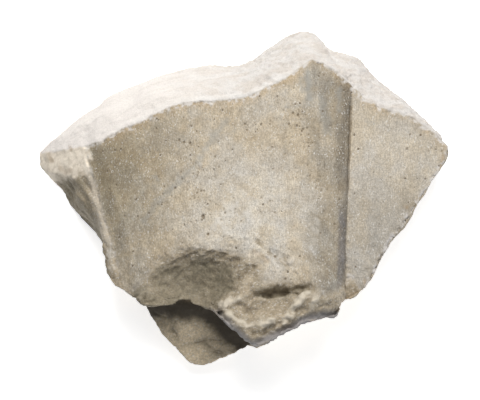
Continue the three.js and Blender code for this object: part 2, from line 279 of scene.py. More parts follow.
# Colours, linear
PATINA = (0.49, 0.425, 0.33)
PATINA_PALE = (0.565, 0.505, 0.415)
PATINA_DEEP = (0.37, 0.30, 0.21)
# Paler middle of the rounded body: wear and painted light where the light falls most
WORN_AND_LIGHT = (0.61, 0.57, 0.505)
RIM = (0.44, 0.34, 0.22)
# Grime and painted shade on the left of the body, which turns away from the light
DIRT_AND_SHADE_TINT = (0.62, 0.60, 0.53)
# Grey tone and painted shade on the right of the body and the flange's low end
SMOKE_AND_SHADE_TINT = (0.63, 0.64, 0.65)
# Painted bluish shade and painted reflected light on the body's steep side by the groove
COOL_SHADE_TINT = (0.64, 0.67, 0.78)
WARM_HINT = (1.10, 1.04, 0.92)
COOL_HINT = (0.98, 1.01, 1.06)
FLANGE_HINT = (0.98, 1.0, 1.04)
# Painted shade on the body's rounding down into the groove
GROOVE_SHADE_TINT = (0.60, 0.60, 0.61)
# Painted highlights on the crests of the breaks and their ridges, and painted shade in their hollows
BREAK_CREST_HIGHLIGHT = (0.66, 0.585, 0.46)
RIDGE_HIGHLIGHT = (0.78, 0.71, 0.59)
BREAK_HOLLOW_SHADE = (0.17, 0.135, 0.085)
# Painted bluish shade on the bevel along the foot
FOOT_COOL_SHADE = (0.31, 0.296, 0.296)
# White crystals with painted glints, also the painted highlight on the pinholes' rims
CRYSTAL_AND_GLINT = (0.80, 0.78, 0.74)
OLD_BREAK = (0.33, 0.275, 0.195)
OLD_BREAK_WARM = (0.44, 0.365, 0.26)
# Pale stump break, made lighter still as painted light
STUMP_BREAK_AND_LIGHT = (0.95, 0.86, 0.73)
# Grime and painted shade in the scoop, slit and left wall
DULL_AND_SHADE_BREAK = (0.205, 0.177, 0.12)
# Yellow tongue break, made much lighter than the other old breaks as painted light
TONGUE_BREAK_AND_LIGHT = (0.65, 0.54, 0.375)
# Dark of the tongue's cracks and of the painted shadow under the lip
CRACK_AND_SHADOW = (0.08, 0.065, 0.045)
FRESH = (0.70, 0.67, 0.64)
FRESH_WARM = (0.64, 0.59, 0.54)
# Smooth part of the new break, made lighter as painted light where it faces away from the light
FRESH_SMOOTH_AND_LIGHT = (0.86, 0.81, 0.765)
FRESH_BRIGHT = (0.93, 0.91, 0.87)
VEIN = (0.33, 0.33, 0.31)
PALE = (0.72, 0.695, 0.65)
STAIN = (0.36, 0.245, 0.13)
# Painted shade in the pits, the pinholes and the groove
PIT_FLOOR_SHADE = (0.20, 0.155, 0.10)

# Variation of a colour: size, range of the noise, its roughness and shift, share, darkest and lightest factor
FRONT_BLOTCHES = ((4.5, 6.5, 5), (0.36, 0.64), 0.6, 83, 0.5, 0.9, 1.1)
FRONT_STREAKS = ((0.45, 2.4, 1.6), (0.32, 0.68), 0.6, 3, 0.3, 0.66, 1.34)
FRONT_GRAIN = ((0.6, 0.7, 0.6), (0.36, 0.64), 0.65, 47, 0.55, 0.7, 1.3)
BREAK_GRAIN = ((0.8, 0.8, 0.8), (0.3, 0.7), 0.6, 37, 0.5, 0.6, 1.4)
FRESH_GRAIN = ((0.7, 0.7, 0.7), (0.3, 0.7), 0.6, 43, 0.5, 0.85, 1.15)

# Surface of the marble
ROUGHNESS = (0.62, 0.82)
BUMP_STRENGTH = 0.8
BUMP_HEIGHT = 0.35
PINHOLE_SPACING = (2.3, 2.9, 2.3)

# Stage
FLOOR_SIZE = 6000.0
FLOOR_COLOUR = (0.9, 0.9, 0.9)
FLOOR_ROUGHNESS = 0.9
FLOOR_GLOW = 0.7
SKY_COLOUR = (0.93, 0.95, 1.0)
SKY_STRENGTH = 0.1
# Name, azimuth and elevation in degrees, distance and size in millimetres, power in watts and colour
LIGHTS = [
    ("key", 85, 60, 450, 280, 2.05, (1.0, 0.985, 0.96)),
    ("fill", -50, 42, 600, 300, 0.5, (0.9, 0.94, 1.0)),
]


def clamp(value, low=0.0, high=1.0):
    return np.clip(value, low, high)


def mix(a, b, share):
    return a + (b - a) * share


def ramp(value, low, high):
    """0 below low, 1 above high and smooth between; low may be above high."""
    share = clamp((value - low) / (high - low))
    return share * share * (3 - 2 * share)


# Camera


def camera_axes():
    """The camera's place, and its right, up and forward directions, in the frame."""
    forward = np.array([0.0, math.cos(CAMERA_ELEVATION), -math.sin(CAMERA_ELEVATION)])
    up = np.array([0.0, math.sin(CAMERA_ELEVATION), math.cos(CAMERA_ELEVATION)])
    right = np.array([1.0, 0.0, 0.0])
    return CAMERA_AIM - forward * CAMERA_DISTANCE, right, up, forward


def make_camera():
    place, _, _, forward = camera_axes()
    data = bpy.data.cameras.new("camera")
    data.lens = LENS
    data.sensor_width = SENSOR
    camera = bpy.data.objects.new("camera", data)
    camera.location = Vector(place * MM)
    camera.rotation_euler = Vector(forward).to_track_quat("-Z", "Y").to_euler()
    bpy.context.scene.collection.objects.link(camera)
    bpy.context.scene.camera = camera


def seen_at(pixel, height):
    """The frame's x and y where the camera sees a pixel of the photograph at a height."""
    place, right, up, forward = camera_axes()
    focal = LENS / SENSOR * PHOTO_SIZE[0]
    across = (pixel[0] - PHOTO_SIZE[0] / 2) / focal
    upward = (PHOTO_SIZE[1] / 2 - pixel[1]) / focal
    ray = forward + right * across + up * upward
    point = place + ray * (height - place[2]) / ray[2]
    return point[:2]


def on_front(pixel):
    """The frame's x and y of a pixel that shows the carved front."""
    point = seen_at(pixel, BODY_HEIGHT)
    for _ in range(3):
        point = seen_at(pixel, front_height_at(point))
    return point


def front_height_at(point):
    return float(front_height(*np.reshape(point, (2, 1)))[0])


def on_break(pixel, depth):
    """The frame's x and y of a pixel that shows a break this far below the carved front."""
    return seen_at(pixel, front_height_at(on_front(pixel)) - depth)


# The carved front


def line_x(start, end, y):
    return mix(start[0], end[0], (start[1] - y) / (start[1] - end[1]))


def rounded_fall(distance, width):
    share = clamp(1 - distance / width)
    return 1 - np.sqrt(1 - share * share)


def crown_fall(outward, crown):
    return crown["drop"] * (np.maximum(0, outward) / crown["reach"]) ** crown["power"]


def front_parts(x, y):
    """The drawing's x and y, and the distances right of the groove and of the stump's edge."""
    drawn_x = x + DRAWING_MIDDLE[0]
    drawn_y = y + DRAWING_MIDDLE[1]
    past_groove = drawn_x - line_x(GROOVE_TOP, GROOVE_FOOT, drawn_y)
    past_stump = drawn_x - line_x(STUMP_EDGE_TOP, STUMP_EDGE_FOOT, drawn_y)
    return drawn_x, drawn_y, past_groove, past_stump


def front_height(x, y):
    """The height of the carved front, without its groove, at places in the frame."""
    drawn_x, drawn_y, past_groove, past_stump = front_parts(x, y)
    fallen = clamp((FLARE_START_Y - drawn_y) / FLARE_LENGTH, 0, FLARE_MOST)
    share = mix(FLARE_LEFT_SHARE, 1, ramp(drawn_x, FLARE_LEFT_X, FLARE_FULL_X))
    flare = FLARE_RISE * share * fallen**FLARE_POWER
    left_crown = crown_fall(CROWN_LEFT["x"] - drawn_x, CROWN_LEFT)
    right_crown = crown_fall(drawn_x - CROWN_RIGHT["x"], CROWN_RIGHT)
    body = BODY_HEIGHT + flare - left_crown - right_crown
    down = clamp((GROOVE_TOP[1] - drawn_y) / (GROOVE_TOP[1] - GROOVE_FOOT[1]))
    right_fall = rounded_fall(-past_groove, mix(ROUNDING_TOP, ROUNDING_FOOT, down))
    left_fall = ramp(past_stump, STUMP_ROUNDING, STRIP_WIDTH)
    outward = np.maximum(0, -past_stump)
    carved = mix(body, FLANGE_HEIGHT, right_fall) - STUMP_FALL * left_fall - STUMP_SLOPE * outward
    return np.where(past_groove > 0, FLANGE_HEIGHT, carved)


# Noise


def grid_value(i, j, k, seed):
    """A repeatable number between -1 and 1 for each point of a whole-number grid."""
    mixed = i * 73856093 ^ j * 19349663 ^ k * 83492791 ^ seed * 265443576
    mixed = (mixed ^ (mixed >> 13)) * 1274126177
    mixed = (mixed ^ (mixed >> 16)) & 0xFFFF
    return mixed / 32767.5 - 1


def noise(points, size, seed, octaves=1, rough=0.5):
    """Smooth noise of about -1 to 1 that changes over size, which may differ along x, y and z."""
    total = np.zeros(len(points))
    weight = 1.0
    most = 0.0
    for octave in range(octaves):
        place = points / (np.asarray(size) / 2**octave)
        cell = np.floor(place).astype(np.int64)
        part = place - cell
        part = part * part * part * (part * (part * 6 - 15) + 10)
        value = np.zeros(len(points))
        for corner in range(8):
            step = np.array([corner & 1, corner >> 1 & 1, corner >> 2])
            share = np.prod(np.where(step == 1, part, 1 - part), axis=1)
            at = cell + step
            value += share * grid_value(*at.T, seed + octave * 17)
        total += weight * value
        most += weight
        weight *= rough
    return total / most * 1.6


def facets(points, size, seed):
    """How far each point is from the nearest of scattered centres, from 0 to about 1, in flat-sided cells."""
    place = points / size
    cell = np.floor(place).astype(np.int64)
    nearest = np.full(len(points), 9.0)
    for corner in range(27):
        step = np.array([corner % 3, corner // 3 % 3, corner // 9]) - 1
        at = cell + step
        centre = at + np.stack([grid_value(*at.T, seed + axis) * 0.5 + 0.5 for axis in range(3)], axis=1)
        nearest = np.minimum(nearest, np.linalg.norm(centre - place, axis=1))
    return nearest


# Mesh helpers


def read_rows(items, name, width, kind=float):
    """One property of a mesh's vertices or edges, as an array with a row for each."""
    flat = np.empty(len(items) * width, dtype=kind)
    items.foreach_get(name, flat)
    return flat.reshape(-1, width)


def read_normals(mesh):
    return read_rows(mesh.vertices, "normal", 3)


def write_points(mesh, points):
    mesh.vertices.foreach_set("co", (points * MM).ravel())
    mesh.update()


def neighbour_mean(values, edges, count):
    """The mean of each vertex's neighbours, for one column of values."""
    total = np.bincount(edges[:, 0], values[edges[:, 1]], count)
    total += np.bincount(edges[:, 1], values[edges[:, 0]], count)
    number = np.bincount(edges.ravel(), minlength=count)
    return total / np.maximum(number, 1)


def smoothed(points, edges, weight, rounds, push=0.0):
    """Points drawn towards their neighbours as strongly as weight says, and pushed back against shrinking."""
    for _ in range(rounds):
        for strength in (1.0, -push):
            for axis in range(3):
                mean = neighbour_mean(points[:, axis], edges, len(points))
                points[:, axis] = mix(points[:, axis], mean, weight * strength)
    return points


def tree_of(points):
    tree = KDTree(len(points))
    for index, point in enumerate(points):
        tree.insert(point, index)
    tree.balance()
    return tree


def distance_to(points, marks):
    tree = tree_of(marks)
    return np.array([tree.find(point)[2] for point in points])


def path_distance(points, path):
    """Distance across the front from a path of x, y points."""
    nearest = np.full(len(points), 1e9)
    for start, end in zip(path[:-1], path[1:]):
        along = end - start
        share = clamp((points[:, :2] - start) @ along / (along @ along))
        offset = points[:, :2] - start - share[:, None] * along
        nearest = np.minimum(nearest, np.hypot(offset[:, 0], offset[:, 1]))
    return nearest


def replace_mesh(piece, modifier_type, **settings):
    """Applies one modifier to a piece."""
    modifier = piece.modifiers.new("step", modifier_type)
    for name, value in settings.items():
        setattr(modifier, name, value)
    graph = bpy.context.evaluated_depsgraph_get()
    made = bpy.data.meshes.new_from_object(piece.evaluated_get(graph))
    piece.modifiers.remove(modifier)
    piece.data = made


# The stone's surface


def carved_share(points, normals):
    """1 on the carved front and 0 on what is broken."""
    deep = front_height(*points.T[:2]) - points[:, 2]
    _, drawn_y, past_groove, past_stump = front_parts(*points.T[:2])
    in_groove = (np.abs(past_groove) < GROOVE_REACH) & (drawn_y < GROOVE_END_Y)
    by_strip = ramp(past_stump, STUMP_ROUNDING, STUMP_ROUNDING - 1)
    share = ramp(np.abs(deep) - 1.4 * by_strip, 0.9, 0.5) * ramp(normals[:, 2], 0.3, 0.5)
    share = np.where(in_groove & (deep < 2.2), 1.0, share)
    return share * ramp(past_stump, -0.5, 1.5)


def break_fall(points):
    """How far the breaks of the lower front lie below the carved front, in a smooth web over BREAK_DEPTHS."""
    known = np.array([[*on_break(spot[:2], spot[2]), spot[2]] for spot in BREAK_DEPTHS])
    between = np.linalg.norm(known[:, None, :2] - known[None, :, :2], axis=2)
    pull = np.linalg.solve(between, known[:, 2])
    away = path_distance(points, front_path(*BREAK_PATH))
    near = np.flatnonzero(away < BREAK_HALF_WIDTH)
    place = points[near, :2].copy()
    place[:, 0] += RIM_WANDER * noise(points[near], RIM_WANDER_SIZE, 61, 3)
    place[:, 1] += RIM_WANDER * noise(points[near], RIM_WANDER_SIZE, 67, 3)
    fall = np.zeros(len(points))
    for (x, y, _), strength in zip(known, pull):
        fall[near] += strength * np.hypot(place[:, 0] - x, place[:, 1] - y)
    return np.maximum(0, fall) * ramp(away, BREAK_HALF_WIDTH, BREAK_HALF_WIDTH - 4)


def fresh_share(points, normals, carved):
    """1 on the new break across the top."""
    drawn_y = points[:, 1] + DRAWING_MIDDLE[1]
    return ramp(normals[:, 1], 0.1, 0.35) * ramp(drawn_y, 12, 22) * (1 - carved)


def choose_pits():
    """Centres and radii of the pits, those of the photograph first."""
    rng = np.random.default_rng(PIT_SEED)
    chosen = [(on_front(pixel), radius) for pixel, radius in PITS]
    while len(chosen) < len(PITS) + SMALL_PITS:
        pixel = rng.uniform(*PIT_AREA)
        if rng.random() < NEAR_SEEN_SHARE:
            near = PITS[rng.integers(len(PITS))][0]
            pixel = np.array(near) + rng.normal(0, NEAR_SEEN_SPREAD, 2)
        chosen.append((on_front(pixel), rng.uniform(*SMALL_PIT_RADII)))
    return chosen


def refine_near(piece, pits):
    """Splits the faces round the pits, so that the mesh can hold them."""
    tree = tree_of([(x, y, 0) for (x, y), _ in pits])
    radii = np.array([radius for _, radius in pits])
    work = bmesh.new()
    work.from_mesh(piece.data)
    chosen = []
    for face in work.faces:
        if face.normal.z < 0.5:
            continue
        middle = face.calc_center_median() / MM
        _, index, distance = tree.find((middle.x, middle.y, 0))
        near_pit = distance < radii[index] * PIT_STRETCH + 0.35
        past_groove = front_parts(middle.x, middle.y)[2]
        if near_pit or abs(past_groove) < GROOVE_REACH:
            chosen.append(face)
    edges = list({edge for face in chosen for edge in face.edges})
    bmesh.ops.subdivide_edges(work, edges=edges, cuts=1, use_grid_fill=True)
    bmesh.ops.triangulate(work, faces=[face for face in work.faces if len(face.verts) > 4])
    work.to_mesh(piece.data)
    work.free()


def pit_fall(points, pits, carved):
    """How deep the pits are at each point."""
    fall = np.zeros(len(points))
    flat = np.column_stack([points[:, 0], points[:, 1] / PIT_STRETCH, np.zeros(len(points))])
    tree = tree_of(flat)
    for (x, y), radius in pits:
        for _, index, distance in tree.find_range((x, y / PIT_STRETCH, 0), radius * 1.3):
            depth = radius * PIT_DEPTH * ramp(distance, radius * 1.2, radius * 0.35)
            fall[index] = max(fall[index], depth)
    return fall * carved


def arris_distance(points, edges, carved):
    """How far each point is from the broken edge of the carved front."""
    ends = carved[edges] > 0.5
    crossing = edges[ends[:, 0] != ends[:, 1]]
    middles = (points[crossing[:, 0]] + points[crossing[:, 1]]) / 2
    return distance_to(points, middles)


def front_path(*pixels):
    """A path on the carved front through pixels of the photograph."""
    return [on_front(pixel) for pixel in pixels]


def near_path(points, pixels, far, near):
    """1 nearer than near to such a path, and 0 beyond far."""
    return ramp(path_distance(points, front_path(*pixels)), far, near)


def past_top_edge(points):
    """How far each point lies beyond the ragged edge along the top."""
    edge = np.array(front_path(*TOP_EDGE))
    ragged = TOP_EDGE_RAGGED * noise(points, 2.2, 83, 3)
    return points[:, 1] - np.interp(points[:, 0], edge[:, 0], edge[:, 1]) + ragged


def turned(points, degrees):
    """Points turned about the vertical, so that noise can be drawn out along any direction."""
    x, y, z = points.T
    angle = math.radians(degrees)
    along = x * math.cos(angle) + y * math.sin(angle)
    across = y * math.cos(angle) - x * math.sin(angle)
    return np.column_stack([along, across, z])


def ridges(points, size, seed, octaves=3):
    """Noise with sharp crests, of about -1 to 1."""
    return 1 - 2 * np.abs(noise(points, size, seed, octaves))


def break_share(points):
    """1 along the row of breaks in the lower front."""
    near = near_path(points, BREAK_PATH, BREAK_HALF_WIDTH, BREAK_HALF_WIDTH - 8)
    return near * ramp(points[:, 2], 22, 25)


def scoop_share(points):
    """1 in the large scoop."""
    return near_path(points, SCOOP_PATH, 9, 4) * ramp(points[:, 2], 22, 24)


def stroke_height(points, normals):
    """The height that the ridges and furrows of the lower breaks add."""
    added = np.zeros(len(points))
    waver = 0.9 * noise(points, 2.4, 73, 3)
    for pixels, half_width, height in BREAK_STROKES:
        path = [on_break(pixel, FOOT_DEPTH) for pixel in pixels]
        away = path_distance(points, path) + waver
        added += height * ramp(away, half_width * 2.2, half_width * 0.2)
    added *= clamp(0.8 + 0.6 * noise(points, 3.2, 75, 2), 0.2, 1.2)
    return added * ramp(points[:, 2], LOWEST_BREAK, LOWEST_BREAK + 2) * ramp(normals[:, 2], 0.2, 0.5)


def crack_and_shadow_share(points):
    """The dark of the tongue's cracks and the painted shadow in the corner under the lip, from 0 to 1, and
    the cracks' depth.
    """
    share = np.zeros(len(points))
    depth = np.zeros(len(points))
    below = tongue_share(points)
    waver = 0.9 * noise(points, 2.5, 71, 3)
    for pixels, half_width, deep in TONGUE_CRACKS:
        away = np.abs(path_distance(points, tongue_path(pixels)) - waver)
        near = ramp(away, half_width * 1.6, 0.1) * below
        soft = ramp(away, half_width * 6, 0.2) * below
        share = np.maximum(share, np.maximum(0.6 * near, 0.35 * soft))
        depth = np.maximum(depth, near * deep)
    # Painted shadow in the corner under the lip
    shadow = ramp(path_distance(points, tongue_path(TONGUE_SHADOW)) + 1.5 * waver, 7, 2) * below
    return np.maximum(share, 0.95 * shadow), depth


def tongue_path(pixels):
    """A path on the tongue through pixels of the photograph."""
    return [seen_at(pixel, TONGUE_HEIGHT) for pixel in pixels]


def tongue_share(points):
    """1 on the recessed tongue below the lip."""
    low_front = ramp(points[:, 1] + 2 * noise(points, 8, 85, 2), -27, -37)
    return low_front * ramp(points[:, 2], TONGUE_TOP, TONGUE_TOP - 3) * ramp(points[:, 2], 2, 4)


def carved_relief(points, carved, arris):
    """Unevenness, tool marks and wear of the carved front."""
    relief = 0.13 * noise(points, 13, 3, 2)
    relief += 0.035 * noise(points, (0.9, 11, 9), 5, 2)
    relief += 0.05 * noise(points, 1.3, 7, 2)
    flakes = ridges(points, (3.4, 2.6, 3), 9) - 0.5
    relief += near_path(points, ROUGH_BAND, 7.5, 1.5) * (0.5 * flakes + 0.5 * noise(points, 1.7, 15, 3))
    lower = ramp(points[:, 1], 0, -30)
    relief += lower * (0.26 * noise(points, 3.6, 11, 3) + 0.16 * noise(points, 1.3, 17, 2))
    sharp = 1 - 0.8 * break_share(points)
    crumble = ramp(noise(points, 1.5, 13, 3), -0.2, 0.6)
    relief -= 1.1 * crumble * ramp(arris, 1.5, 0.0) * sharp
    relief -= 0.15 * ramp(arris, 0.9, 0.0) * sharp
    return relief * carved


def ripples(points):
    """Curved steps round the middle of the large scoop, as a shell-like break leaves them."""
    middle = on_front(RIPPLE_MIDDLE)
    across = points[:, 0] - middle[0]
    upward = points[:, 1] - middle[1]
    away = np.hypot(across, upward)
    turn = np.arctan2(upward, across)
    return noise(np.column_stack([away, 9 * turn, 0 * away]), (1.5, 7, 9), 63, 3)


def crease_share(points, arris):
    """1 on the narrow facet that follows the edge of the carved front along the new break."""
    waver = noise(points, 4, 45, 3)
    near = ramp(arris + 1.3 * waver, CREASE_WIDTH, CREASE_WIDTH - 0.9)
    return near * ramp(points[:, 0], 24, 18) * ramp(points[:, 0], -52, -42) * clamp(0.7 + 0.4 * waver)


def broken_relief(points, fresh, carved, arris):
    """Relief of the breaks, coarse on the old ones and sugary on the new one."""
    in_break = break_share(points)
    old = 0.7 * noise(points, 7.5, 21, 5, 0.55)
    old += 0.6 * (0.5 - facets(points, 6.0, 23))
    old += 0.22 * (0.5 - facets(points, 2.2, 27))
    left_wall = ramp(points[:, 0], -45, -52) * ramp(points[:, 1], 6, 3)
    streaked = 0.8 * noise(turned(points, -52), (14, 1.8, 7), 25, 4)
    old = mix(old, streaked + 0.3 * old, left_wall)
    ledges = ridges(turned(points, 35), (7, 2.8, 4), 29, 4)
    grains = noise(points, 1.3, 39, 2)
    in_scoop = scoop_share(points)
    coarse = mix(0.7 * old + 0.55 * ledges, 0.45 * old + 0.2 * ledges + 0.12 * ripples(points), in_scoop)
    old = mix(old, coarse + 0.2 * grains, in_break)
    old = mix(old, 0.7 * old + 0.12 * grains, tongue_share(points))
    new = 0.9 * noise(points, 8.0, 31, 5, 0.6)
    new += 0.5 * (0.5 - facets(points, 3.0, 33))
    streaks = 0.2 * noise(turned(points, 24), (14, 1.8, 2.2), 35, 3)
    rugged = ramp(points[:, 0], -14, 8)
    new = mix(streaks + 0.15 * new, new + 0.35 * noise(points, 1.8, 37, 3), rugged)
    new += CREASE_STEP * crease_share(points, arris)
    relief = mix(old, new, fresh)
    return relief * (1 - carved) * mix(0.35, 1, ramp(arris, 0.0, 1.5)) - crack_and_shadow_share(points)[1]


def bed_share(normals):
    """1 on the flat bed that the block rests on, and in the hollow in it."""
    return ramp(normals[:, 2], -0.75, -0.95)


def bed_relief(points, bed):
    """Furrows left by a point chisel on the back, cut upward so that the bed stays flat."""
    slant = points[:, :2] @ np.array(FURROW_SLANT)
    furrow = np.sin(slant / FURROW_SPACING + 1.6 * noise(points, 9, 41, 2))
    broken_up = ramp(noise(points, 5, 43, 2), -0.2, 0.5)
    return FURROW_DEPTH * ramp(furrow, 0.1, 0.9) * broken_up * bed


def groove_fall(points):
    """How deep the fine groove between the body and the flange is at each point."""
    _, drawn_y, past_groove, _ = front_parts(*points.T[:2])
    clear = mix(0.1, 1.0, ramp(drawn_y, 3, 8)) * ramp(drawn_y, 43, 36)
    waver = 0.16 * noise(points, 3, 47, 2)
    return GROOVE_DEPTH * clear * ramp(np.abs(past_groove + 0.1 + waver), GROOVE_HALF_WIDTH, 0.05)


def foot_share(points, from_foot, in_breaks):
    """1 on the bevel along the foot of the front."""
    away = from_foot + 0.5 * noise(points, 3, 77, 2)
    return ramp(away, FOOT_BEVEL_WIDTH, 0.2) * in_breaks * ramp(points[:, 0], *BEVEL_START)


# Masks: where the stone takes on a colour, each from 0 to 1


def tone_masks(points, carved, cloud):
    """Grime and painted shade at the left, grey tone and painted shade at the right and low down, painted
    shade along the groove, the flange's calm tone, and the worn middle with painted light.
    """
    drawn_x, drawn_y, past_groove, past_stump = front_parts(*points.T[:2])
    uneven = 0.12 * cloud + 0.2 * noise(points, 9, 55, 2)
    # Grime and painted shade: darker towards the left of the body, less so low down
    left = ramp(drawn_x, *DIRT_AND_SHADE_ACROSS) * ramp(past_stump, 0.5, STRIP_WIDTH)
    left *= mix(1, 0.55, ramp(drawn_y, *DIRT_AND_SHADE_THINS))
    # Grey tone and painted shade on the upper right of the body, by the groove
    smoky_and_shaded = ramp(drawn_x, *SMOKE_AND_SHADE_ACROSS) * ramp(drawn_y, *SMOKE_AND_SHADE_UP) * ramp(past_groove, 0.3, -0.3)
    soot = noise(points, (1.6, 16, 9), 59, 3)
    # Painted shade low on the right, reaching onto the flange's lower end
    low_right = ramp(drawn_x, *LOW_SMOKE_AND_SHADE_ACROSS) * ramp(drawn_y, *LOW_SMOKE_AND_SHADE_DOWN)
    low_right *= mix(0.85, 0.42, ramp(past_groove, -0.5, 0.5))
    grey = np.maximum(smoky_and_shaded * (1 + 1.6 * uneven + 0.7 * soot), low_right * (1 + 2 * uneven))
    # Painted shade on the body's side falling into the groove
    groove_shade = ramp(past_groove, -8, -0.2) * ramp(past_groove, 0.4, 0.1) * ramp(drawn_y, *GROOVE_SHADE_UP)
    # Paler middle: wear and painted light where the rounded body faces the light
    from_middle = [(drawn_x - WORN_MIDDLE[0]) / WORN_REACH[0], (drawn_y - WORN_MIDDLE[1]) / WORN_REACH[1]]
    worn = ramp(np.hypot(*from_middle), 1.0, 0.25)
    patchy = ramp(noise(points, 5, 57, 4), -0.55, 0.45)
    return {
        "dirt_and_shade": clamp(left * (1 + uneven)) * carved,
        "smoke_and_shade": clamp(grey) * carved,
        # Painted bluish shade and painted reflected light on the body's steep side low by the groove
        "cool_shade": ramp(np.abs(past_groove + 2.0), 2.3, 0.8) * ramp(drawn_y, *COOL_SHADE_DOWN) * carved,
        "groove_shade": groove_shade * carved,
        "calm": ramp(past_groove, 0, 1.5),
        "worn": clamp(worn * (0.35 + 0.65 * patchy)) * carved,
    }


def mark_masks(points, carved, fresh, arris, cloud):
    """Brown rims, veins, pale patches, stains and white chips."""
    _, drawn_y, _, past_stump = front_parts(*points.T[:2])
    # Paler strip next to the stump: a worn edge and painted light on the narrow flat band
    strip = ramp(np.abs(past_stump - 0.4) + 0.5 * cloud, STRIP_WIDTH * 0.85, STRIP_WIDTH * 0.15)
    strip = 0.22 * strip * ramp(drawn_y, -22, -14) * ramp(drawn_y, 19, 14) * (1 - fresh)
    torn = mix(0.35, 1, ramp(noise(points, (1.4, 2.6, 2), 79, 3), -0.3, 0.4))
    crumbs = ramp(noise(points, 1.4, 53, 3) - 0.35 * arris, -0.25, 0.1)
    spared = ramp(past_stump, 0, 3) * (1 - 0.8 * break_share(points))
    return {
        "rim": ramp(arris, 4.5, 0.8) * ramp(drawn_y, 16, 26) * clamp(0.75 + 0.5 * cloud) * carved,
        "vein": patch_mask(points, VEINS, cloud) * mix(0.5, 1, carved),
        "pale": np.maximum(strip, torn * patch_mask(points, PALE_PATCHES, 2 * cloud)),
        "stain": patch_mask(points, STAINS, cloud),
        "chip": crumbs * ramp(arris, 2.2, 1.0) * spared * carved * CHIP_SHARE,
    }


def break_masks(points, carved, fresh, arris, cloud):
    """The new break with its smooth side, lighter with painted light, and its facet, and the tongue, the
    cracks and the painted shadow under the lip, the walls darkened with grime and painted shade, and the
    stump lighter with painted light.
    """
    drawn_x, drawn_y, _, past_stump = front_parts(*points.T[:2])
    height = points[:, 2]
    left_wall = ramp(past_stump, -1.2, -3.2) * ramp(drawn_y + 1.5 * cloud, 14, 10) * (1 - fresh)
    in_slit = near_path(points, SLIT_PATH, 3.5, 1.0) * ramp(height, 22, 24)
    by_lip = near_path(points, LEFT_LIP_PATH, 6, 2) * ramp(height, 20, 23)
    # Grime and painted shade on the left wall, the scoop, the slit and by the lip's left end
    low = np.maximum(0.85 * left_wall, 0.95 * scoop_share(points))
    low = np.maximum(low, np.maximum(0.8 * in_slit, 0.9 * by_lip))
    return {
        "fresh": fresh,
        # Smooth left part of the new break, lighter in colour and with painted light
        "smooth": ramp(drawn_x + 4 * cloud, 4, -52),
        "crease": crease_share(points, arris),
        "tongue": tongue_share(points),
        # The tongue's cracks and the painted shadow under the lip
        "crack_and_shadow": crack_and_shadow_share(points)[0],
        "dull_and_shade": (1 - carved) * (1 - fresh) * clamp(low * (0.8 + 0.25 * cloud)),
        "stump": ramp(past_stump, 2.6, 0.8) * ramp(drawn_y + 1.5 * cloud, 10.5, 14.5) * (1 - fresh),
    }


def relief_masks(points, carved, height, strokes, stump):
    """Painted highlights on the crests and painted shade in the hollows of the breaks, from the height of
    their relief, and the torn edge at the stump.
    """
    _, drawn_y, _, past_stump = front_parts(*points.T[:2])
    in_break = break_share(points) * (1 - carved)
    torn = ramp(past_stump + 0.8 * noise(points, 2.5, 81, 3), 4.5, 3.0) * ramp(drawn_y, 17, 19)
    return {
        "high": in_break * ramp(height, 0.2, 1.3),
        "low": in_break * ramp(height, -0.1, -1.3),
        "ridge_highlight": in_break * ramp(strokes, 0.3, 0.9),
        "stump": np.maximum(stump, torn),
        "carved": carved * ramp(np.abs(strokes), 0.6, 0.2) * ramp(past_stump, 0.8, 2.6) * (1 - torn),
    }


def patch_mask(points, patches, cloud):
    """The strongest of soft patches along paths of pixels, each with a half width and a strength."""
    total = np.zeros(len(points))
    for pixels, half_width, strength in patches:
        away = path_distance(points, front_path(*pixels)) - 0.45 * half_width * cloud
        total = np.maximum(total, strength * ramp(away, half_width, half_width * 0.15))
    return total * ramp(points[:, 2], 3, 6)


# The whole surface


def copy_stone():
    """The solid as an evenly meshed object of the scene."""
    piece = bpy.data.objects.new("marble_surface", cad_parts[NODE].data.copy())
    bpy.context.scene.collection.objects.link(piece)
    piece.data.materials.clear()
    grid = GRID
    replace_mesh(piece, "REMESH", mode="VOXEL", voxel_size=grid * MM)
    return piece


def shape_front(points, normals, beyond):
    """Moves the front to its exact heights. Says where it is carved and broken, and how far the foot is."""
    carved = carved_share(points, normals) * ramp(beyond, 0.3, 0.0)
    opened = break_fall(points)
    target = front_height(*points.T[:2]) - opened
    reached = (points[:, 2] > LOWEST_BREAK) & (np.abs(points[:, 2] - target) < BREAK_REACH)
    in_breaks = (opened > 0) & reached
    from_foot = path_distance(points, [on_break(pixel, FOOT_DEPTH) for pixel in FOOT_EDGE])
    within = ramp(from_foot, 1.0, 2.5) * (normals[:, 2] > -0.35)
    loose = in_breaks * np.maximum(within, ramp(normals[:, 2], 0.0, 0.3))
    steady = np.maximum(carved * ramp(normals[:, 2], 0.45, 0.75), loose)
    points[:, 2] = mix(points[:, 2], target, steady)
    facet = front_height(*points.T[:2]) - TOP_EDGE_SLOPE * beyond
    points[:, 2] = np.where(beyond > 0, np.minimum(points[:, 2], facet), points[:, 2])
    return np.maximum(carved, loose) * ramp(opened, 1.3, 0.3), in_breaks, from_foot


